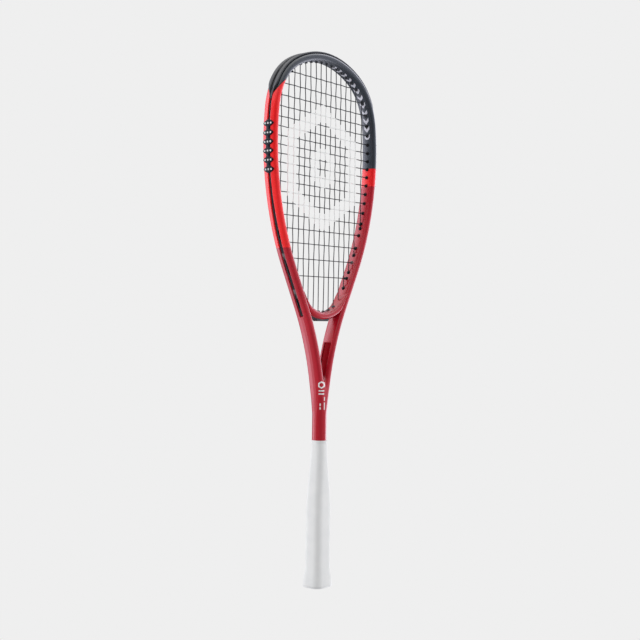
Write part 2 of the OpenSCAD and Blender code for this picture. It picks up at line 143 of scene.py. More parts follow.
head_x = walk(HEAD_ARCS, Vector((0, TOP_Z)), 90)[-1][0][0]
leg_x = walk(LEG_ARCS, Vector((0, 0)), -LEAN)[-1][0][0]
straight = (head_x + leg_x - (SHAFT_HALF_W - HALF_W)) / math.sin(math.radians(LEAN))
PATH = walk(HEAD_ARCS + [(0, straight)] + LEG_ARCS, Vector((0, TOP_Z)), 90)


def length_of(stretch):
    return stretch[3] if stretch[2] == 0 else abs(stretch[2]) * math.radians(stretch[3])


def distance_to(index):
    """Distance along the path to the start of a stretch."""
    return sum(length_of(s) for s in PATH[:index])


PATH_LEN = distance_to(len(PATH))


def at(distance):
    """(point, angle of the normal) at a distance along the path. A negative one is on the left."""
    left = distance < 0
    rest = min(abs(distance), PATH_LEN - 1e-6)
    for point, phi, radius, sweep in PATH:
        length = length_of((point, phi, radius, sweep))
        if rest <= length and length > 0:
            break
        rest -= length
    if radius == 0:
        p = point + rest * Vector((math.sin(math.radians(phi)), -math.cos(math.radians(phi))))
    else:
        turned = phi - math.copysign(math.degrees(rest / abs(radius)), radius)
        p = point + radius * (unit(turned) - unit(phi))
        phi = turned
    if left:
        return Vector((-p[0], p[1])), 180 - phi
    return p, phi


def distance_where(test):
    """The first distance at which a test of (point, phi) holds, to a hundredth of a millimetre."""
    low, high = 0.0, PATH_LEN
    while high - low > 0.01:
        middle = (low + high) / 2
        if test(*at(middle)):
            high = middle
        else:
            low = middle
    return high


def wall_hit(u, want, axis, low=False):
    """Where the line at u outside the centre line meets x = want (axis 0) or z = want (axis 1)."""
    widest = distance_where(lambda p, phi: phi <= 0)
    start, end = 0.0, PATH_LEN if axis else widest
    if low:
        start, end = widest, distance_to(NECK)
    sign = 1 if axis or low else -1
    while end - start > 1e-4:
        middle = (start + end) / 2
        p, phi = at(middle)
        if sign * ((p + u * unit(phi))[axis] - want) > 0:
            start = middle
        else:
            end = middle
    p, phi = at(end)
    return p + u * unit(phi), phi


# --- strings and their holes ---

HALF_MAINS = 8
BRIDGE_MAINS = 3
CROSSES = 19
BUMPER_CROSSES = 3
PADS = range(5, 11)
MID_CROSS_Z = RACKET_LEN - 149


def main_x(i):
    if i == HALF_MAINS - 1:
        return main_x(i - 1) + 13.4
    return 10.3 * (i + 0.5) + 0.007 * (i + 0.5) ** 3


def cross_z(i):
    n = (CROSSES - 1) / 2 - i
    return MID_CROSS_Z + 11.1 * n - 0.143 * n * n + 0.0365 * n**3


class Hole:
    """A string hole: its entry on the string side, its direction, the wall's normal and its length."""

    def __init__(self, entry, wall, string_angle, length=None):
        self.entry = entry
        self.wall = wall
        self.angle = (wall + string_angle) / 2
        self.length = length or 2 * HALF_W / math.cos(math.radians(self.angle - wall))

    def exit(self, rise):
        past = rise / math.cos(math.radians(self.wall - self.angle))
        return self.entry + (self.length + past) * unit(self.angle)


def cross_hole(i):
    entry, phi = wall_hit(-HALF_W, cross_z(i), 1)
    return Hole(entry, phi, 0)


def top_hole(i):
    entry, phi = wall_hit(-HALF_W, main_x(i), 0)
    return Hole(entry, phi, 90)


def throat_z(x):
    """Underside of the strip under the bridge: flat in its middle, a thin rail beyond."""
    rail = BRIDGE_CZ - math.sqrt((BRIDGE_R + 2 * HALF_W + RAIL_T) ** 2 - x * x)
    return min(rail, THROAT_Z + max(0.0, abs(x) - THROAT_FLAT))


def low_hole(i):
    x = main_x(i)
    if i < BRIDGE_MAINS:
        z = BRIDGE_CZ - math.sqrt(BRIDGE_R**2 - x * x)
        return Hole(Vector((x, z)), -90, -90, z - throat_z(x))
    entry, phi = wall_hit(-HALF_W, x, 0, low=True)
    return Hole(entry, phi, -90)


TOP_HOLES = [top_hole(i) for i in range(HALF_MAINS)]
LOW_HOLES = [low_hole(i) for i in range(HALF_MAINS)]
CROSS_HOLES = [cross_hole(i) for i in range(CROSSES)]

# --- meshes ---


class Builder:
    """Collects the rings and faces of one piece. A ring is a list of points in millimetres."""

    def __init__(self):
        self.points = []
        self.faces = []
        self.values = []

    def ring(self, points, value=0.0):
        first = len(self.points)
        self.points += [tuple(p) for p in points]
        self.values += [value] * len(points)
        return list(range(first, first + len(points)))

    def join(self, a, b, closed=True):
        n = len(a)
        for k in range(n if closed else n - 1):
            j = (k + 1) % n
            self.faces.append((a[k], a[j], b[j], b[k]))

    def fan(self, ring):
        """Closes a ring with triangles round a point at its middle."""
        middle = sum((Vector(self.points[i]) for i in ring), Vector()) / len(ring)
        centre = self.ring([middle], self.values[ring[0]])[0]
        for k in range(len(ring)):
            self.faces.append((ring[k], ring[(k + 1) % len(ring)], centre))

    def loft(self, rings, loop=False):
        made = [self.ring(r) for r in rings]
        for a, b in zip(made, made[1:]):
            self.join(a, b)
        if loop:
            self.join(made[-1], made[0])
        else:
            self.fan(made[0])
            self.fan(made[-1])

    def lathe(self, profile, place, sides=20):
        """A closed ring profile of (radius, height) turned round the Z axis of place."""
        rings = []
        for k in range(sides):
            a = 2 * math.pi * k / sides
            rings.append([place @ Vector((r * math.cos(a), r * math.sin(a), h)) for r, h in profile])
        self.loft(rings, loop=True)

    def dome(self, profile, place, sides=16):
        """A solid of revolution: profile starts and ends off the axis and both ends are closed."""
        rings = []
        for r, h in profile:
            rings.append([place @ Vector((r * math.cos(2 * math.pi * k / sides),
                r * math.sin(2 * math.pi * k / sides), h)) for k in range(sides)])
        self.loft(rings)


def piece(name, builder, material, replaced=(), subdivide=0, sharp=35, along=False):
    mesh = bpy.data.meshes.new(name)
    mesh.from_pydata([[c * MM for c in p] for p in builder.points], [], builder.faces)
    if along:
        mesh.attributes.new("along", "FLOAT", "POINT").data.foreach_set("value", builder.values)
    work = bmesh.new()
    work.from_mesh(mesh)
    bmesh.ops.recalc_face_normals(work, faces=work.faces)
    work.to_mesh(mesh)
    work.free()
    mesh.shade_smooth()
    if not subdivide:
        mesh.set_sharp_from_angle(angle=math.radians(sharp))
    mesh.materials.append(material)
    made = bpy.data.objects.new(name, mesh)
    bpy.context.scene.collection.objects.link(made)
    if subdivide:
        rounder = made.modifiers.new("rounder", "SUBSURF")
        rounder.levels = rounder.render_levels = subdivide
    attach(made, "root")
    if replaced:
        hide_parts(*replaced)
    return made


def lift(station, profile):
    """A profile of (u, v) points set across a station: u outwards, v along +Y."""
    p, phi = station
    n = unit(phi)
    return [Vector((p[0] + u * n[0], v, p[1] + u * n[1])) for u, v in profile]


def corner(u, v, r, start, steps=5):
    points = []
    for k in range(steps + 1):
        a = math.radians(start + 90 * k / steps)
        points.append((u + r * math.cos(a), v + r * math.sin(a)))
    return points


def placed(axes, origin):
    """A frame with three axes and an origin."""
    place = Matrix(axes).transposed().to_4x4()
    place.translation = origin
    return place


def facing(point, axis, side):
    """A frame at a point of the string plane: Z along axis, Y through the string bed."""
    across = Vector((0, 1, 0))
    axis = Vector((axis[0] * side, 0, axis[1]))
    return placed((across.cross(axis), across, axis), (point[0] * side, 0, point[1]))


# --- materials ---


class Shader:
    """A material whose nodes are added by short calls. Sockets and numbers can be mixed."""

    def __init__(self, name):
        self.material = bpy.data.materials.new(name)
        self.material.use_nodes = True
        self.tree = self.material.node_tree
        self.surface = self.tree.nodes["Principled BSDF"]
        self.coords = self.add("ShaderNodeTexCoord").outputs["Object"]

    def add(self, kind, **settings):
        made = self.tree.nodes.new(kind)
        for key, value in settings.items():
            setattr(made, key, value)
        return made

    def feed(self, socket, value):
        if isinstance(value, bpy.types.NodeSocket):
            self.tree.links.new(value, socket)
        else:
            socket.default_value = value

    def math(self, operation, *values):
        made = self.add("ShaderNodeMath", operation=operation)
        for socket, value in zip(made.inputs, values):
            self.feed(socket, value)
        return made.outputs[0]

    def xyz(self):
        split = self.add("ShaderNodeSeparateXYZ")
        self.feed(split.inputs[0], self.coords)
        return [self.math("MULTIPLY", s, 1 / MM) for s in split.outputs]

    def both(self, a, b):
        return self.math("MULTIPLY", a, b)

    def either(self, a, b):
        return self.math("MAXIMUM", a, b)

    def above(self, value, limit):
        return self.math("GREATER_THAN", value, limit)

    def below(self, value, limit):
        return self.math("LESS_THAN", value, limit)

    def between(self, value, low, high):
        return self.both(self.above(value, low), self.below(value, high))

    def blend(self, factor, a, b):
        made = self.add("ShaderNodeMix", data_type="RGBA")
        self.feed(made.inputs[0], factor)
        self.feed(made.inputs[6], a)
        self.feed(made.inputs[7], b)
        return made.outputs[2]

    def noise(self, scale, detail=3.0, stretch=(1, 1, 1)):
        mapping = self.add("ShaderNodeMapping")
        mapping.inputs["Scale"].default_value = stretch
        self.feed(mapping.inputs[0], self.coords)
        made = self.add("ShaderNodeTexNoise")
        self.feed(made.inputs["Vector"], mapping.outputs[0])
        made.inputs["Scale"].default_value = scale
        made.inputs["Detail"].default_value = detail
        return made.outputs[0]

    def spread(self, value, low, high):
        made = self.add("ShaderNodeMapRange")
        self.feed(made.inputs[0], value)
        made.inputs[1].default_value = 0.3
        made.inputs[2].default_value = 0.7
        made.inputs[3].default_value = low
        made.inputs[4].default_value = high
        return made.outputs[0]

    def bump(self, height, distance, strength=1.0):
        made = self.add("ShaderNodeBump")
        made.inputs["Strength"].default_value = strength
        made.inputs["Distance"].default_value = distance * MM
        self.feed(made.inputs["Height"], height)
        self.tree.links.new(made.outputs[0], self.surface.inputs["Normal"])

    def set(self, **values):
        for key, value in values.items():
            self.feed(self.surface.inputs[key.replace("_", " ")], value)
        return self.material


def rgb(*c):
    return (*c, 1.0)


CHARCOAL = rgb(0.038, 0.047, 0.061)
BLACK = rgb(0.004, 0.005, 0.007)
BRIGHT_RED = rgb(1.0, 0.010, 0.012)
CRIMSON = rgb(0.50, 0.005, 0.020)
SHADED_CRIMSON = rgb(0.26, 0.001, 0.006)
WHITE = rgb(0.86, 0.87, 0.88)
LAVENDER_GREY = rgb(0.62, 0.63, 0.72)

# Heights at which the frame's colours change
LEFT_LINE_Z = 637.7
LEFT_LINE_X = -84.5
LEFT_LINE_SLOPE = 0.76
LEFT_LINE_TURN = 0.857
LEFT_LINE_TOP = 648
LEFT_CRIMSON_Z = 431
RIGHT_RED_Z = 548
RIGHT_CRIMSON_Z = 524
RECESS_TOP = 314

# Marks on the neck: the hexagon's middle, and bars as (low z, high z, from, to across the neck)
NECK_HEXAGON_Z = 259.6
NECK_BARS = ((251.2, 252.8, -3.6, 3.6), (247.2, 248.8, -3.6, 3.6), (239, 244, 3.4, 4.5),
    (227.5, 237, 3.4, 4.5), (232.5, 235.8, -2.2, -0.6), (228, 231, -2.2, -0.6))


def hexagon(shader, a, b):
    """Distance from the middle of a hexagon with a point at the top, across its flats."""
    a = shader.math("ABSOLUTE", a)
    b = shader.math("ABSOLUTE", b)
    slanted = shader.math("ADD", shader.both(a, 0.5), shader.both(b, 0.866))
    return shader.either(a, slanted)


def paint():
    s = Shader("lacquered_laminate")
    x, y, z = s.xyz()
    left = s.below(x, 0.0)
    line = s.math("SUBTRACT", z, s.math("MULTIPLY_ADD", x, LEFT_LINE_SLOPE,
        LEFT_LINE_Z - LEFT_LINE_X * LEFT_LINE_SLOPE))
    from_face = s.math("SUBTRACT", HALF_D, s.math("ABSOLUTE", y))
    line = s.math("MULTIPLY_ADD", from_face, LEFT_LINE_TURN, line)
    line = s.either(line, s.math("SUBTRACT", z, LEFT_LINE_TOP))
    left_colour = s.blend(s.above(z, LEFT_CRIMSON_Z), CRIMSON, BRIGHT_RED)
    left_colour = s.blend(s.above(line, 0.0), left_colour, CHARCOAL)
    left_colour = s.blend(s.between(line, -0.9, 0.9), left_colour, BLACK)
    right_colour = s.blend(s.above(z, RIGHT_CRIMSON_Z), CRIMSON, BRIGHT_RED)
    right_colour = s.blend(s.above(z, RIGHT_RED_Z), right_colour, CHARCOAL)
    colour = s.blend(left, right_colour, left_colour)

    # Painted shade: a darker crimson with little gloss in the recess on each leg's inner face
    along = s.add("ShaderNodeAttribute", attribute_name="along").outputs["Fac"]
    inner = s.add("ShaderNodeAttribute", attribute_name="recess").outputs["Fac"]
    colour = s.blend(inner, colour, SHADED_CRIMSON)

    # A row of plain chevrons on the right of the head's string side
    normal = s.add("ShaderNodeNewGeometry").outputs["Normal"]
    split = s.add("ShaderNodeSeparateXYZ")
    s.feed(split.inputs[0], normal)
    slant = s.math("ADD", along, s.both(s.math("ABSOLUTE", y), 1.1))
    stripes = s.below(s.math("FRACT", s.math("DIVIDE", slant, 11.5)), 0.40)
    row = s.both(s.between(along, 20, 152), s.below(s.math("ABSOLUTE", y), 4.2))
    inward = s.either(s.below(split.outputs[0], -0.6), s.below(split.outputs[2], -0.6))
    colour = s.blend(s.both(s.both(stripes, row), inward), colour, LAVENDER_GREY)

    # A hexagon and six bars on the neck, facing front and left
    across = s.math("SUBTRACT", s.math("SUBTRACT", s.both(x, 0.627), s.both(y, 0.779)), 2.2)
    facing = s.below(s.math("ADD", s.both(x, 0.77), s.both(y, 0.64)), 0.0)
    cell = hexagon(s, across, s.math("SUBTRACT", z, NECK_HEXAGON_Z))
    mark = s.between(cell, 2.6, 4.2)
    for low, high, near, far in NECK_BARS:
        mark = s.either(mark, s.both(s.between(z, low, high), s.between(across, near, far)))
    colour = s.blend(s.both(mark, facing), colour, WHITE)

    # Fine flake and a slight wave in the lacquer
    flake = s.noise(2600, 1.0)
    tint = s.spread(s.noise(22, 2.0), 0.94, 1.05)
    tint = s.both(tint, s.spread(flake, 0.93, 1.07))
    shade = s.add("ShaderNodeVectorMath", operation="SCALE")
    s.feed(shade.inputs[0], colour)
    s.feed(shade.inputs["Scale"], tint)
    s.bump(s.noise(420, 2.0), 0.012)
    # Painted shade: the recess also loses most of its coat and gloss
    shine = s.math("MULTIPLY_ADD", inner, -0.95, 1.0)
    return s.set(Base_Color=shade.outputs[0], Roughness=s.spread(flake, 0.24, 0.32),
        Coat_Weight=s.both(shine, 0.6), Coat_Roughness=0.08, Specular_IOR_Level=s.both(shine, 0.5))


def moulded(name, colour, rough, grain=900, depth=0.02, coat=0.0, gloss=0.5):
    s = Shader(name)
    speck = s.noise(grain, 2.0)
    broad = s.spread(s.noise(35, 3.0), 0.88, 1.1)
    shade = s.add("ShaderNodeVectorMath", operation="SCALE")
    shade.inputs[0].default_value = colour[:3]
    s.feed(shade.inputs["Scale"], broad)
    s.bump(speck, depth)
    return s.set(Base_Color=shade.outputs[0], Roughness=s.spread(speck, rough - 0.06, rough + 0.08),
        Coat_Weight=coat, Coat_Roughness=0.2, Specular_IOR_Level=gloss)


def string_material():
    s = Shader("string_gut")
    x, _, z = s.xyz()
    height = s.math("SUBTRACT", z, MID_CROSS_Z + 2)
    cell = hexagon(s, x, height)
    ink = s.either(s.between(cell, 53, 71), s.between(cell, 12, 24))
    wear_and_sheen = s.spread(s.noise(700, 2.0), 0.88, 1.0)
    ink = s.both(ink, wear_and_sheen)
    twist = s.noise(1500, 1.0, (1, 1, 0.25))
    colour = s.blend(ink, rgb(0.020, 0.021, 0.024), rgb(0.90, 0.91, 0.91))
    s.bump(twist, 0.03)
    return s.set(Base_Color=colour, Roughness=s.spread(twist, 0.30, 0.44), Coat_Weight=0.15)


def strip_material():
    """Black nylon, with painted grey highlights in two short lengths on each leg."""
    s = Shader("strip_nylon")
    _, _, z = s.xyz()
    # Painted highlight: the strip is grey in two short lengths on each leg
    wear_and_sheen = s.either(s.between(z, 369, 380), s.between(z, 412, 424))
    colour = s.blend(wear_and_sheen, rgb(0.006, 0.006, 0.008), rgb(0.15, 0.13, 0.135))
    s.bump(s.noise(900, 2.0), 0.02)
    return s.set(Base_Color=colour, Roughness=s.spread(s.noise(900, 2.0), 0.38, 0.52),
        Specular_IOR_Level=0.3)


def grip_material():
    s = Shader("grip_tape")
    fine = s.noise(1500, 4.0)
    soft = s.noise(60, 3.0)
    pores = s.add("ShaderNodeTexVoronoi")
    s.feed(pores.inputs["Vector"], s.coords)
    pores.inputs["Scale"].default_value = 900
    height = s.math("ADD", s.both(fine, 0.6), s.both(pores.outputs["Distance"], 0.5))
    colour = s.blend(s.spread(soft, 0.0, 1.0), rgb(0.83, 0.84, 0.85), rgb(0.88, 0.885, 0.89))
    s.bump(height, 0.05, 0.6)
    return s.set(Base_Color=colour, Roughness=s.spread(fine, 0.55, 0.7), Sheen_Weight=0.12,
        Sheen_Roughness=0.5)


PAINT = paint()
NYLON = moulded("black_nylon", (0.030, 0.033, 0.039), 0.34, coat=0.3)
PAD = moulded("pad_nylon", (0.006, 0.009, 0.016), 0.36, gloss=0.22)
STRIP = strip_material()
EYELET = moulded("eyelet_grey", (0.80, 0.83, 0.86), 0.22, coat=0.4)
STRING = string_material()
GRIP = grip_material()
COLLAR = moulded("collar_rubber", (0.86, 0.86, 0.87), 0.5, depth=0.01)
CAP = moulded("cap_plastic", (0.78, 0.79, 0.80), 0.45)
FOAM = moulded("moulded_foam", (0.72, 0.64, 0.44), 0.8, grain=1200, depth=0.08)
PLUG = moulded("plug_foam", (0.05, 0.05, 0.052), 0.85, grain=1500, depth=0.08)
STEEL = moulded("staple_wire", (0.62, 0.62, 0.64), 0.3)
STEEL.node_tree.nodes["Principled BSDF"].inputs["Metallic"].default_value = 1.0

# --- frame: hoop, legs, neck and shaft in one shell ---

GROOVE_END = distance_to(LEG_END)
NECK_START = distance_to(NECK)
RECESS_START = distance_where(lambda p, phi: (p - HALF_W * unit(phi))[1] < RECESS_TOP and phi < 0)
CROTCH_Z = 262.5
TRUNK_TOP = 258.0
LEG_FOOT = NECK_START - 5.5
SIDE_FALL = 0.55
RECESS_DEPTH = 1.5
RECESS_FRONT = 5.9
RECESS_BACK = 5.5
INNER_V = (6.4, 6.1, 5.9, 5.5, 4.4, 1.5, -1.5, -4.6, -5.6, -5.9, -6.1, -6.4)
SADDLE_V = (9.4, 8.3, 7.0, 5.6, 4.4, 1.5, -1.5, -4.4, -5.6, -7.0, -8.3, -9.4)


def recess_at(distance):
    """Depth of the inner face's recess: a sharp step at its top, fading out at the crotch."""
    d = abs(distance)
    return RECESS_DEPTH * smooth((d - RECESS_START) / 0.8) * smooth((LEG_FOOT - d) / 5)


def groove_at(distance):
    return GROOVE_DEPTH * smooth((GROOVE_END - abs(distance)) / 0.8)


def groove_half(distance):
    """Half the groove's width: it opens out on its way down each leg."""
    return mix(1.7, GROOVE_HALF, smooth((525 - at(distance)[0][1]) / 80))


def side_fall(v, fall):
    """How far a side has curved away from its middle, to reach fall where the corners begin."""
    return fall * min(1, abs(v) / (HALF_D - CORNER_R)) ** 2


def outer_face(u, groove, fall, g=GROOVE_HALF):
    """The face away from the strings, from front to back, with its groove."""
    half = [(u - side_fall(v, fall), v) for v in (-g - 2.2, -g - 0.9, -g - 0.15)]
    half += [(u - groove, -g + 0.08), (u - groove, -g + 0.7)]
    return half + [(u - groove, 0)] + [(a, -b) for a, b in reversed(half)]


def tube_outline(distance):
    """The tube's outline, from its inner front corner round the outside to its inner back one."""
    w, d, r = HALF_W - SIDE_FALL, HALF_D, CORNER_R
    outline = corner(-w + r, -d + r, r, 180)
    outline += [(mix(-w + r, w - r, t), -d) for t in (0.33, 0.67)]
    outline += corner(w - r, -d + r, r, 270)
    outline += outer_face(HALF_W, groove_at(distance), SIDE_FALL, groove_half(distance))
    outline += corner(w - r, d - r, r, 0)
    outline += [(mix(w - r, -w + r, t), d) for t in (0.33, 0.67)]
    outline += corner(-w + r, d - r, r, 90)
    return outline


def tube_inner(distance):
    """The string side, from back to front, with its recess."""
    q = recess_at(distance)
    return [(-HALF_W + side_fall(v, SIDE_FALL) + (q if -RECESS_FRONT < v <= RECESS_BACK else 0), v)
        for v in INNER_V]


def half_outline(w, d, r):
    """Half of the trunk's outline, from the middle of the front to the middle of the back."""
    fall = SIDE_FALL * max(0, (d - SHAFT_HALF_D) / (HALF_D - SHAFT_HALF_D))
    edge = w - fall - r
    front = [(edge * k / 8, -d) for k in range(8)]
    side = [(u, v * (d - r) / (HALF_D - CORNER_R)) for u, v in outer_face(w, 0, fall)]
    return (front + corner(edge, -d + r, r, 270) + side + corner(edge, d - r, r, 0)
        + [(x, d) for x, _ in reversed(front)])


def trunk_sections():
    """(z, half width, half depth, corner radius) up the shaft and the neck."""
    sections = [(SHAFT_BOTTOM, SHAFT_HALF_W, SHAFT_HALF_D, SHAFT_R)]
    foot = PATH[-1][0][1]
    sections += [(mix(SHAFT_BOTTOM, foot, t), SHAFT_HALF_W, SHAFT_HALF_D, SHAFT_R)
        for t in (0.01, 0.2, 0.4, 0.6, 0.8, 0.9, 0.97)]
    steps = 9
    top = distance_where(lambda p, phi: phi > -LEAN and (p + HALF_W * unit(phi))[1] < TRUNK_TOP)
    for k in range(steps + 1):
        t = k / steps
        p, phi = at(mix(PATH_LEN, top, t))
        edge = p + HALF_W * unit(phi)
        sections.append((edge[1], edge[0], mix(SHAFT_HALF_D, HALF_D, smooth(t)),
            mix(SHAFT_R, CORNER_R, t**0.7)))
    return sections


def frame_piece():
    b = Builder()
    halves = []

    def trunk_ring(z, w, d, r):
        outline = half_outline(w, d, r)
        right = b.ring([(x, y, z) for x, y in outline])
        left = b.ring([(-x, y, z) for x, y in outline[1:-1]])
        return right, [right[0]] + left + [right[-1]]

    sections = trunk_sections()
    _, w, d, r = sections[0]
    wall = SHAFT_WALL
    cavity = [(z, w - wall, d - wall, r - wall) for z in (PLUG_TOP + 30, PLUG_TOP + 29.5, PLUG_TOP,
        SHAFT_BOTTOM + 0.3, SHAFT_BOTTOM)]
    for section in cavity + sections:
        halves.append(trunk_ring(*section))
    for (ra, la), (rb, lb) in zip(halves, halves[1:]):
        b.join(ra, rb, closed=False)
        b.join(lb, la, closed=False)
    right, left = halves[0]
    b.fan(right + left[-2:0:-1])

    # The crotch between the legs rises from the trunk's front and back
    right, left = halves[-1]
    rise = CROTCH_Z - sections[-1][0]
    saddle = b.ring([(0, v, sections[-1][0] + rise * (1 - (abs(v) / HALF_D) ** 3) ** (1 / 3))
        for v in SADDLE_V])

    spots = [LEG_FOOT - 3 * k for k in range(4)]
    spots += [RECESS_START + k for k in (0.8, 0.5, 0.2, -0.1, -0.6)]
    spots += [GROOVE_END + k for k in (1.0, 0.1, -0.3, -0.6, -0.9, -1.6)]
    spots += [d for d in (5.0 * k for k in range(int(spots[3] / 5)))
        if all(abs(d - s) > 1.6 for s in spots)]
    spots = sorted(set(spots), reverse=True)
    distances = spots + [-d for d in reversed(spots) if d > 0]
    rings = [right + saddle]
    recess = {}
    for distance in distances:
        ring = b.ring(lift(at(distance), tube_outline(distance) + tube_inner(distance)), distance)
        # The recess attribute carries the painted shade on each leg's inner face
        if recess_at(distance) > 0.5 * RECESS_DEPTH:
            inner = ring[-len(INNER_V):]
            for index, v in zip(inner, INNER_V):
                recess[index] = 1.0 if -RECESS_FRONT < v <= RECESS_BACK else 0.0
        rings.append(ring)
    rings.append(left + saddle)
    for a, c in zip(rings, rings[1:]):
        b.join(a, c)
    made = piece("frame_shell", b, PAINT, ["frame"], subdivide=1, along=True)
    shade = made.data.attributes.new("recess", "FLOAT", "POINT")
    for index, value in recess.items():
        shade.data[index].value = value


def rounded(middle, half_u, half_v, power=2.5):
    """A superellipse about u = middle."""
    steps = 28
    outline = []
    for k in range(steps):
        c, q = math.cos(2 * math.pi * k / steps), math.sin(2 * math.pi * k / steps)
        outline.append((middle + half_u * math.copysign(abs(c) ** (2 / power), c),
            half_v * math.copysign(abs(q) ** (2 / power), q)))
    return outline


def bridge_piece():
    """The arc that closes the string bed. Its ends run on along the walls that it meets."""
    b = Builder()
    end = 90 - LEAN
    rings = []
    for k in range(57):
        a = mix(-end, end, k / 56)
        n = Vector((math.sin(math.radians(a)), -math.cos(math.radians(a))))
        # Near its ends the arc stays just inside the wall that it runs into
        inner = BRIDGE_R + 1.2 * smooth((abs(a) - end + 8) / 8)
        outer = min(BRIDGE_R + 2 * HALF_W, (BRIDGE_R + 2.6) / math.cos(math.radians(end - abs(a))))
        outline = rounded((inner + outer) / 2, (outer - inner) / 2, HALF_D - 0.4)
        rings.append([Vector((n[0] * u, v, BRIDGE_CZ + n[1] * u)) for u, v in outline])
    b.loft(rings)
    piece("throat_bridge_arc", b, PAINT, ["throat_bridge"], subdivide=1, along=True)


# --- bumper and grommet strips ---

BARREL_R = 2.05
BORE_R = 0.8
BARREL_PROUD = 1.4
TIP_LEN = 22.0
BUMPER_END = distance_to(SIDE)
FLOOR_U = HALF_W - GROOVE_DEPTH + 0.1


def hole_place(hole, side):
    """A frame at a hole's entry whose Z axis points out of the string side."""
    return facing(hole.entry, -unit(hole.angle), side)


def add_barrels(b, holes, sides=(1, -1)):
    lip = 0.35
    profile = [(BORE_R, -1.5), (BORE_R, BARREL_PROUD - lip), (BORE_R + 0.15, BARREL_PROUD - 0.1),
        (BORE_R + 0.4, BARREL_PROUD), (BARREL_R - 0.35, BARREL_PROUD), (BARREL_R - 0.08, BARREL_PROUD - 0.15),
        (BARREL_R, BARREL_PROUD - lip), (BARREL_R + 0.15, 0.2), (BARREL_R + 0.5, -0.1),
        (BARREL_R + 0.5, -1.5)]
    for hole in holes:
        for side in sides:
            b.lathe(profile, hole_place(hole, side))


def bumper_section(distance):
    """Two ribs with the strings' channel between them, over a tongue in the groove."""
    left = BUMPER_END - abs(distance)
    t = smooth(left / TIP_LEN)
    half = mix(1.6, 7.5, t)
    top = HALF_W + mix(0.35, BUMPER_RISE, smooth(left / (0.7 * TIP_LEN)))
    tongue = min(groove_half(distance) - 0.1, half - 0.15)
    channel = min(1.6, half - 1.0)
    edge = min(0.8, (half - channel) / 3)
    base = HALF_W + 0.03
    side = [(base, tongue), (base, half - 0.45), (base + 0.3, half - 0.05), (mix(base, top, 0.6), half),
        (top - 0.25, half - 0.25), (top, half - edge), (top, mix(channel, half, 0.5)),
        (top - 0.05, channel + 0.45), (top - 0.3, channel + 0.1), (base + 0.1, channel - 0.1),
        (base - 0.1, 0.5 * channel)]
    return [(FLOOR_U, -tongue), (FLOOR_U, tongue)] + side + [(u, -v) for u, v in reversed(side)]


def bumper_piece():
    b = Builder()
    spots = [BUMPER_END - k for k in (0, 0.8, 2, 4, 6.5, 9, 12, 15, 18, 22)]
    spots += [d for d in (3.0 * k for k in range(60)) if d < spots[-1] - 1.5]
    spots = sorted(set(spots), reverse=True)
    distances = spots + [-d for d in reversed(spots) if d > 0]
    b.loft([lift(at(d), bumper_section(d)) for d in distances])
    add_barrels(b, TOP_HOLES + CROSS_HOLES[:BUMPER_CROSSES])
    piece("bumper", b, NYLON, ["bumper_guard"], sharp=50)


def strip_section(distance):
    t = groove_half(distance) - 0.15
    crown = HALF_W - GROOVE_DEPTH + STRIP_T
    half = [(FLOOR_U, t), (crown - 0.45, t), (crown - 0.12, t - 0.2), (crown, t - 0.6), (crown, 0.5)]
    return [(u, -v) for u, v in half] + [(u, v) for u, v in reversed(half)]


PAD_HALF_V = 8.1
PAD_HALF_H = 4.8
STUD_V = 4.5


def pad_place(i, side):
    """A frame on the hoop's outer face at a cross, Z outwards, Y through the string bed."""
    p, phi = wall_hit(HALF_W, cross_z(i), 1)
    return facing(p, unit(phi), side)


def pad_ring(scale_h, scale_v, height, place):
    """One ring of a pad: a diamond with bulging sides."""
    outline = rounded(0, PAD_HALF_H * scale_h, PAD_HALF_V * scale_v, 1.4)
    return [place @ Vector((h, v, height)) for h, v in outline]


def add_pad(b, place):
    """A crowned diamond."""
    b.loft([pad_ring(h, v, height, place) for h, v, height in ((0.96, 0.97, -2.2), (1.0, 1.0, -0.2),
        (1.0, 1.0, 0.25), (0.94, 0.95, 0.55), (0.72, 0.78, 0.75), (0.4, 0.45, 0.72))])


def strip_piece(side, name, node):
    b = Builder()
    start, end = BUMPER_END - 1.0, GROOVE_END - 1.2
    count = int((end - start) / 4)
    distances = [mix(start, end, k / count) * side for k in range(count + 1)]
    b.loft([lift(at(d), strip_section(d)) for d in distances])
    add_barrels(b, CROSS_HOLES[BUMPER_CROSSES:] + LOW_HOLES[BRIDGE_MAINS:], (side,))
    strip = piece(name, b, STRIP, [node], sharp=50)

    # A low bar joins the pads
    first, last = (distance_where(lambda p, phi: p[1] < cross_z(i)) for i in (PADS[0], PADS[-1]))
    bar = [(HALF_W - 1, 3.3), (HALF_W + 0.1, 3.3), (HALF_W + 0.3, 3.05)]
    bar = [(u, -v) for u, v in bar] + bar[::-1]
    pads = Builder()
    pads.loft([lift(at(mix(first, last, k / 20) * side), bar) for k in range(21)])
    studs = Builder()
    for i in PADS:
        place = pad_place(i, side)
        add_pad(pads, place)
        for v in (-STUD_V, 0, STUD_V):
            spot = place @ Matrix.Translation((0, v, 0.35))
            studs.dome([(1.25, -0.6), (1.25, 0.5), (1.1, 0.8), (0.8, 0.98), (0.35, 1.06)], spot)
    for made in (piece(name + "_pads", pads, PAD, sharp=40),
            piece(name + "_studs", studs, EYELET, sharp=60)):
        made.parent = strip


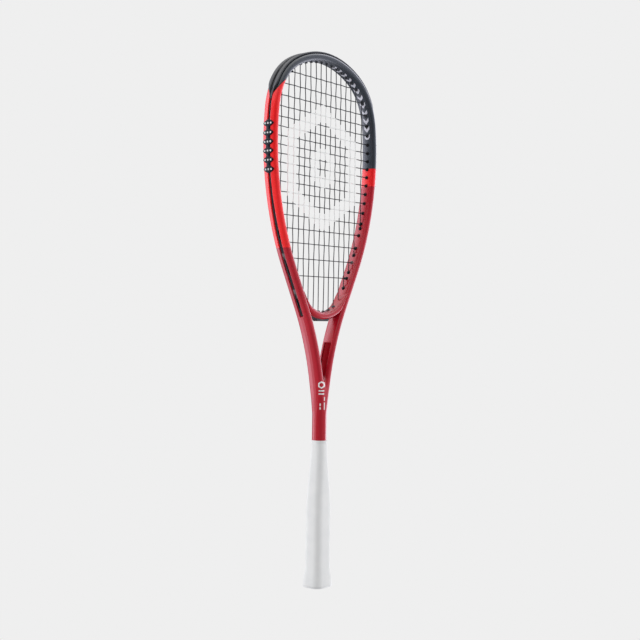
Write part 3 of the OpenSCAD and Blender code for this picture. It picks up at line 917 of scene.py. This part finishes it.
def throat_piece():
    """The grommet strip under the bridge, with the strings' channel in its flat middle."""
    b = Builder()
    half_x, half_y = 27.4, 3.5
    steps = 80
    rings = []
    for k in range(steps + 1):
        x = mix(-half_x, half_x, k / steps)
        top = BRIDGE_CZ - math.sqrt((BRIDGE_R + 2 * HALF_W) ** 2 - x * x) + 0.5
        foot = throat_z(x)
        edge = min(0.7, 0.35 * (top - foot))
        sunk = 0.9 * smooth((THROAT_FLAT + 2 - abs(x)) / 2)
        half = [(half_y, top), (half_y, foot + edge), (half_y - 0.25 * edge, foot + 0.3 * edge),
            (half_y - edge, foot), (1.7, foot), (1.2, foot + 0.7 * sunk)]
        rings.append([(x, -y, z) for y, z in half] + [(x, 0, foot + sunk)]
            + [(x, y, z) for y, z in reversed(half)])
    b.loft(rings)
    add_barrels(b, LOW_HOLES[:BRIDGE_MAINS])
    piece("throat_grommets", b, NYLON, ["throat_grommet_strip"], sharp=50)


# --- strings ---

MAIN_SWAY = 0.42
CROSS_SWAY = 0.80
LOOP_RISE = STRIP_T - GROOVE_DEPTH + STRING_R + 0.04
BUMPER_LOOP_RISE = 1.2
LOOP_Y = STRING_R + 0.02


def flip(point, side):
    return Vector((point[0] * side, point[1]))


def run_points(hole_a, hole_b, side_a, side_b, rises, level, crossings, sway):
    """A run between two holes, woven over and under at its crossings, as (x, y, z) points."""
    entry_a, entry_b = flip(hole_a.entry, side_a), flip(hole_b.entry, side_b)
    out_a, out_b = flip(hole_a.exit(rises[0]), side_a), flip(hole_b.exit(rises[1]), side_b)
    points = [(out_a[0], level, out_a[1]), (entry_a[0], level * 0.6, entry_a[1])]
    ordered = sorted(crossings, key=lambda c: (Vector(c[0]) - entry_a).length)
    previous = entry_a
    for k, (spot, sign) in enumerate(ordered):
        spot = Vector(spot)
        if (spot - entry_a).length < 3 or (spot - entry_b).length < 3:
            continue
        between = (previous + spot) / 2
        if k and (spot - previous).length > 6:
            points.append((between[0], 0, between[1]))
        points.append((spot[0], sign * sway, spot[1]))
        previous = spot
    points += [(entry_b[0], level * 0.6, entry_b[1]), (out_b[0], level, out_b[1])]
    return points


def inside_bed(i, c):
    """Whether main i crosses cross c inside the hoop."""
    return main_x(i) < CROSS_HOLES[c].entry[0] - 2


def arch(a, b, wall_a, wall_b, level):
    """The middle of a loop that follows the hoop's outer face between two holes."""
    n = wall_a + wall_b
    bend = math.acos(min(1.0, n.length / 2)) / 2
    middle = (a + b) / 2 + (b - a).length / 2 * math.tan(bend) * n.normalized()
    return (middle[0], level, middle[1])


def relax(points, rounds=2):
    """Rounds a route with Chaikin's corner cutting, keeping its ends."""
    for _ in range(rounds):
        cut = [points[0]]
        for a, b in zip(points, points[1:]):
            a, b = Vector(a), Vector(b)
            cut += [a.lerp(b, 0.25), a.lerp(b, 0.75)]
        points = cut + [points[-1]]
    return points


def tube(b, points, radius, sides=8):
    """A round tube along a route that is never parallel to Y."""
    rings = []
    count = len(points)
    for i, p in enumerate(points):
        before, after = Vector(points[max(i - 1, 0)]), Vector(points[min(i + 1, count - 1)])
        heading = (after - before).normalized()
        side = heading.cross(Vector((0, 1, 0))).normalized()
        up = side.cross(heading)
        rings.append([Vector(p) + radius * (math.cos(a) * side + math.sin(a) * up)
            for a in (2 * math.pi * (k + 0.5) / sides for k in range(sides))])
    b.loft(rings)


def wall_vector(hole, side):
    n = unit(hole.wall)
    return Vector((n[0] * side, n[1]))


def string_pieces():
    columns = [(-1, HALF_MAINS - 1 - j) if j < HALF_MAINS else (1, j - HALF_MAINS)
        for j in range(2 * HALF_MAINS)]
    spots = {}
    for j, (side, i) in enumerate(columns):
        for c in range(CROSSES):
            if inside_bed(i, c):
                spots[j, c] = ((side * main_x(i), cross_z(c)), 1 if (j + c) % 2 else -1)

    route = []
    for j, (side, i) in enumerate(columns):
        up = j % 2 == 0
        low_rise = -1.2 * STRING_R if i == 0 else STRING_R + 0.35 if i < BRIDGE_MAINS else LOOP_RISE
        ends = [(LOW_HOLES[i], low_rise), (TOP_HOLES[i], BUMPER_LOOP_RISE)]
        if not up:
            ends.reverse()
        crossings = [spots[j, c] for c in range(CROSSES) if (j, c) in spots]
        run = run_points(ends[0][0], ends[1][0], side, side, (ends[0][1], ends[1][1]), LOOP_Y,
            crossings, MAIN_SWAY)
        if route:
            before, wall = route[-1], last_wall
            route.append(arch(Vector((before[0], before[2])), Vector((run[0][0], run[0][2])), wall,
                wall_vector(ends[0][0], side), LOOP_Y))
        route += run
        last_wall = wall_vector(ends[1][0], side)
    b = Builder()
    tube(b, relax(route), STRING_R)
    piece("mains", b, STRING, ["main_string"], sharp=60)

    route = []
    for c in range(CROSSES):
        first, second = (-1, 1) if c % 2 == 0 else (1, -1)
        rise = BUMPER_LOOP_RISE if c < BUMPER_CROSSES else LOOP_RISE
        hole = CROSS_HOLES[c]
        crossings = [(spots[j, c][0], -spots[j, c][1]) for j in range(2 * HALF_MAINS) if (j, c) in spots]
        run = run_points(hole, hole, first, second, (rise, rise), -LOOP_Y, crossings, CROSS_SWAY)
        if route:
            before = route[-1]
            route.append(arch(Vector((before[0], before[2])), Vector((run[0][0], run[0][2])), last_wall,
                wall_vector(hole, first), -LOOP_Y))
        route += run
        last_wall = wall_vector(hole, second)
    b = Builder()
    tube(b, relax(route), STRING_R)
    piece("crosses", b, STRING, ["cross_string"], sharp=60)


def knot_piece():
    """Four wound knots, each three turns of string round a run, just inside the hoop."""
    b = Builder()
    inset = 5
    turns, steps = 3, 14
    spots = []
    for side in (-1, 1):
        hole = LOW_HOLES[HALF_MAINS - 1]
        spot = Vector((side * main_x(HALF_MAINS - 1), LOOP_Y * 0.6, hole.entry[1] + inset))
        spots.append((spot, (0, 0, 1)))
    for hole, side in ((CROSS_HOLES[0], -1), (CROSS_HOLES[-1], 1)):
        spots.append((Vector((side * (hole.entry[0] - inset), -LOOP_Y * 0.6, hole.entry[1])), (1, 0, 0)))
    for centre, axis in spots:
        axis = Vector(axis)
        side = axis.cross(Vector((0, 1, 0)))
        points = []
        for k in range(turns * steps + 1):
            a = 2 * math.pi * k / steps
            points.append(centre + 0.95 * (math.cos(a) * side + math.sin(a) * Vector((0, 1, 0)))
                + axis * (k / (turns * steps) - 0.5) * 2.6)
        rings = []
        for i, p in enumerate(points):
            heading = (points[min(i + 1, len(points) - 1)] - points[max(i - 1, 0)]).normalized()
            out = (p - centre) - axis * (p - centre).dot(axis)
            out = (out - heading * out.dot(heading)).normalized()
            up = heading.cross(out)
            rings.append([p + 0.5 * (math.cos(q) * out + math.sin(q) * up)
                for q in (2 * math.pi * n / 6 for n in range(6))])
        b.loft(rings)
    piece("knots", b, STRING, ["tie_off_knots"], sharp=70)


# --- handle ---


def grip_sections():
    """(z, half width, half depth, corner radius) up the grip, from the butt's flare to its top."""
    flare = BUTT_FLARE
    sections = [(GRIP_BOTTOM, GRIP_W / 2 + flare, GRIP_D / 2 + flare, 10.5),
        (6, GRIP_W / 2 + flare, GRIP_D / 2 + flare, 10.5),
        (9, GRIP_W / 2 + 0.96 * flare, GRIP_D / 2 + 0.96 * flare, 10.4),
        (13, GRIP_W / 2 + 0.68 * flare, GRIP_D / 2 + 0.68 * flare, 10),
        (17, GRIP_W / 2 + 0.32 * flare, GRIP_D / 2 + 0.32 * flare, 9.6),
        (21, GRIP_W / 2 + 0.08 * flare, GRIP_D / 2 + 0.08 * flare, 9.2)]
    sections += [(z, GRIP_W / 2, GRIP_D / 2, 9) for z in (26, 36, 48, 60, 72, 84, 90)]
    top_w, top_d = SHAFT_HALF_W + 1, SHAFT_HALF_D + 1
    for k in range(1, 25):
        t = k / 24
        g = 1 - (1 - math.cos(math.pi * t)) / 2
        sections.append((mix(92, GRIP_TOP, t), mix(top_w, GRIP_W / 2, g), mix(top_d, GRIP_D / 2, g),
            9 - 0.3 * (1 - g)))
    return sections


def round_ring(z, w, d, r, inset=0.0, steps=8, spiral=0.0):
    """A rounded rectangle at height z. A spiral value gives it the tape's overlap."""
    r = min(r - inset, w - inset - 0.05, d - inset - 0.05)
    outline = []
    for k, (sx, sy) in enumerate(((1, 1), (-1, 1), (-1, -1), (1, -1))):
        outline += corner(sx * (w - inset - r), sy * (d - inset - r), r, 90 * k, steps)
    if not spiral:
        return [(x, y, z) for x, y in outline]
    ring = []
    for x, y in outline:
        turn = math.atan2(y, x) / (2 * math.pi)
        phase = (z / TAPE_PITCH - turn) % 1.0
        dip = spiral * (smooth(phase / 0.06) * (1 - 0.35 * phase) - 1)
        scale = 1 + dip / math.hypot(x, y)
        ring.append((x * scale, y * scale, z))
    return ring


TAPE_PITCH = 24.0
TAPE_STEP = 0.16


def fill_in(sections, gap):
    """Adds sections so that none is further than gap from the next."""
    dense = []
    for a, c in zip(sections, sections[1:]):
        steps = max(1, math.ceil((c[0] - a[0]) / gap))
        dense += [tuple(mix(p, q, k / steps) for p, q in zip(a, c)) for k in range(steps)]
    return dense + [sections[-1]]


def grip_pieces():
    sections = fill_in(grip_sections(), 1.0)
    b = Builder()
    outer = [round_ring(*s, spiral=TAPE_STEP) for s in sections]
    inner = [round_ring(*s, inset=WRAP_T) for s in reversed(sections)]
    b.loft(outer + inner, loop=True)
    piece("grip", b, GRIP, ["grip_wrap"], sharp=60)

    b = Builder()
    low, high = GRIP_TOP - 0.2, COLLAR_TOP
    w, d, r = SHAFT_HALF_W + 0.8, SHAFT_HALF_D + 0.8, SHAFT_R + 0.8
    rings = [round_ring(z, w, d, r, inset=i) for z, i in ((low, 0.15), (low + 0.3, 0), (high - 0.6, 0),
        (high - 0.2, 0.12), (high, 0.4), (high, 0.75))]
    rings += [round_ring(z, w, d, r, inset=0.78) for z in (high - 0.3, low + 0.3, low)]
    b.loft(rings, loop=True)
    piece("collar", b, COLLAR, ["grip_collar"], sharp=50)

    b = Builder()
    w, d = GRIP_W / 2 + BUTT_FLARE, GRIP_D / 2 + BUTT_FLARE
    rings = [round_ring(z, w, d, 10.5, inset=i) for z, i in ((0.35, 9.0), (0.25, 6.0), (0, 4.0), (0, 1.6),
        (0.15, 0.9), (0.6, 0.35), (1.2, 0.08), (1.8, 0), (GRIP_BOTTOM - 0.25, 0), (GRIP_BOTTOM, 0.3),
        (GRIP_BOTTOM, WRAP_T + 0.05), (24, WRAP_T + BUTT_FLARE + 0.1), (24, WRAP_T + BUTT_FLARE + 1.4))]
    b.loft(rings)
    piece("butt", b, CAP, ["butt_cap"], sharp=50)


def carried_over():
    """The pieces inside the handle keep their CAD shape and get their own finish."""
    for name, material in (("handle_shell_front", FOAM), ("handle_shell_back", FOAM),
            ("shaft_end_plug", PLUG), ("butt_cap_staples", STEEL)):
        mesh = frame["nodes"][name].data
        mesh.materials.clear()
        mesh.materials.append(material)


# --- studio ---

CAMERA_YAW = 51.2
CAMERA_ROLL = 0.75
CAMERA_DISTANCE = 1.4164
CAMERA_SHIFT = 0.00083
FOCAL_IN_FRAMES = 1100 / 640
BACKGROUND = 0.863

# Brightness of the light from ahead of the camera (0) to behind it (1)
SOFT_LIGHT = ((0.0, 0.80), (0.45, 0.98), (0.72, 0.58), (1.0, 0.18))

# Brightness of what the gloss reflects, by degrees to the right of straight ahead
REFLECTED = ((-180, 0.02), (-122, 0.02), (-108, 0.08), (-98, 0.38), (-89, 0.80), (-81, 0.90), (-70, 0.55),
    (-45, 0.08), (-12, 0.04), (8, 0.12), (24, 0.50), (42, 0.95), (58, 0.58), (78, 0.17), (104, 0.08),
    (128, 0.08), (150, 0.03), (180, 0.02))
REFLECTED_ABOVE = 0.50
REFLECTED_BELOW = 0.03
REFLECTED_GAIN = 3.0
FLOOR_LIGHT = 0.8


def camera():
    yaw, roll = math.radians(CAMERA_YAW), math.radians(CAMERA_ROLL)
    forward = Vector((math.sin(yaw), math.cos(yaw), 0))
    right = Vector((math.cos(yaw), -math.sin(yaw), 0))
    up = Vector((0, 0, 1))
    middle = Vector((0, 0, cad_box[1][2] / 2))
    rolled_right = right * math.cos(roll) + up * math.sin(roll)
    rolled_up = up * math.cos(roll) - right * math.sin(roll)
    data = bpy.data.cameras.new("camera")
    data.sensor_width = 36
    data.lens = data.sensor_width * FOCAL_IN_FRAMES
    data.clip_start, data.clip_end = 0.05, 50
    made = bpy.data.objects.new("camera", data)
    bpy.context.scene.collection.objects.link(made)
    made.matrix_world = placed((rolled_right, rolled_up, -forward),
        middle - CAMERA_DISTANCE * forward - CAMERA_SHIFT * right)
    bpy.context.scene.camera = made
    return forward


def floor():
    """A plain pale floor in the backdrop's own tone."""
    b = bmesh.new()
    bmesh.ops.create_circle(b, cap_ends=True, segments=64, radius=12)
    mesh = bpy.data.meshes.new("floor")
    b.to_mesh(mesh)
    b.free()
    material = bpy.data.materials.new("floor_pale")
    material.use_nodes = True
    tree = material.node_tree
    tree.nodes.clear()
    rays = tree.nodes.new("ShaderNodeLightPath")
    glow = tree.nodes.new("ShaderNodeEmission")
    seen = tree.nodes.new("ShaderNodeMapRange")
    tree.links.new(rays.outputs["Is Camera Ray"], seen.inputs["Value"])
    seen.inputs["To Min"].default_value = FLOOR_LIGHT
    seen.inputs["To Max"].default_value = BACKGROUND
    tree.links.new(seen.outputs[0], glow.inputs["Strength"])
    out = tree.nodes.new("ShaderNodeOutputMaterial")
    tree.links.new(glow.outputs[0], out.inputs[0])
    mesh.materials.append(material)
    made = bpy.data.objects.new("floor", mesh)
    made.location.z = -0.0005
    made.visible_glossy = False
    bpy.context.scene.collection.objects.link(made)


def world(forward):
    """An even backdrop. Light comes mostly from the sides, and gloss reflects tall soft panels."""
    scene_world = bpy.data.worlds.new("studio")
    bpy.context.scene.world = scene_world
    scene_world.use_nodes = True
    # Reflections and soft light see different surroundings, so only rays that hit them count
    scene_world.cycles.sampling_method = "NONE"
    tree = scene_world.node_tree
    rays = tree.nodes.new("ShaderNodeLightPath")
    coords = tree.nodes.new("ShaderNodeTexCoord").outputs["Generated"]

    def along(axis):
        made = tree.nodes.new("ShaderNodeVectorMath")
        made.operation = "DOT_PRODUCT"
        made.inputs[1].default_value = axis
        tree.links.new(coords, made.inputs[0])
        return made.outputs["Value"]

    def maths(operation, *values):
        made = tree.nodes.new("ShaderNodeMath")
        made.operation = operation
        for socket, value in zip(made.inputs, values):
            if isinstance(value, bpy.types.NodeSocket):
                tree.links.new(value, socket)
            else:
                socket.default_value = value
        return made.outputs[0]

    def ramp(position, stops, blue=1.0):
        made = tree.nodes.new("ShaderNodeValToRGB")
        made.color_ramp.interpolation = "EASE"
        for k, (spot, tone) in enumerate(stops):
            stop = made.color_ramp.elements[k] if k < 2 else made.color_ramp.elements.new(spot)
            stop.position = spot
            stop.color = rgb(tone, tone, tone * blue)
        tree.links.new(position, made.inputs[0])
        return made.outputs[0]

    def choose(factor, a, b):
        made = tree.nodes.new("ShaderNodeMix")
        made.data_type = "RGBA"
        tree.links.new(factor, made.inputs[0])
        tree.links.new(a, made.inputs[6])
        if isinstance(b, bpy.types.NodeSocket):
            tree.links.new(b, made.inputs[7])
        else:
            made.inputs[7].default_value = rgb(b, b, b)
        return made.outputs[2]

    right = Vector((forward[1], -forward[0], 0))
    behind = maths("MULTIPLY_ADD", along(forward), -0.5, 0.5)
    turn = maths("ARCTAN2", along(right), along(forward))
    turn = maths("MULTIPLY_ADD", turn, 1 / (2 * math.pi), 0.5)
    up = along(Vector((0, 0, 1)))
    above = maths("SMOOTH_MIN", maths("MAXIMUM", maths("MULTIPLY_ADD", up, 1.8, -0.7), 0.0), 1.0, 0.1)
    below = maths("SMOOTH_MIN", maths("MAXIMUM", maths("MULTIPLY_ADD", up, -1.8, -0.7), 0.0), 1.0, 0.1)
    mirror = ramp(turn, [(degrees / 360 + 0.5, tone) for degrees, tone in REFLECTED], 1.14)
    mirror = choose(below, choose(above, mirror, REFLECTED_ABOVE), REFLECTED_BELOW)
    lit = choose(rays.outputs["Is Glossy Ray"], ramp(behind, SOFT_LIGHT), mirror)
    seen = choose(rays.outputs["Is Camera Ray"], lit, BACKGROUND)
    tree.links.new(seen, tree.nodes["Background"].inputs["Color"])
    gain = maths("MULTIPLY_ADD", rays.outputs["Is Glossy Ray"], REFLECTED_GAIN - 1, 1.0)
    tree.links.new(gain, tree.nodes["Background"].inputs["Strength"])


def softbox(name, place, target, size, power):
    data = bpy.data.lights.new(name, "AREA")
    data.shape = "RECTANGLE"
    data.size, data.size_y = size
    data.energy = power
    made = bpy.data.objects.new(name, data)
    made.location = place
    made.rotation_euler = (Vector(target) - Vector(place)).to_track_quat("-Z", "Y").to_euler()
    made.visible_camera = made.visible_glossy = False
    bpy.context.scene.collection.objects.link(made)


def lights(forward):
    right = Vector((forward[1], -forward[0], 0))
    middle = Vector((0, 0, cad_box[1][2] / 2))
    left_place = middle - 1.4 * right - 0.2 * forward + Vector((0, 0, 0.3))
    right_place = middle + 1.4 * right + 0.1 * forward + Vector((0, 0, 0.2))
    softbox("softbox_left", left_place, middle, (0.8, 1.6), 9)
    softbox("softbox_right", right_place, middle, (0.6, 1.6), 7)


bpy.context.scene.view_settings.view_transform = "Standard"
view_direction = camera()
world(view_direction)
lights(view_direction)
floor()

frame_piece()
bridge_piece()
bumper_piece()
strip_piece(1, "side_strip_right", "grommet_strip_right")
strip_piece(-1, "side_strip_left", "grommet_strip_left")
throat_piece()
string_pieces()
knot_piece()
grip_pieces()
carried_over()
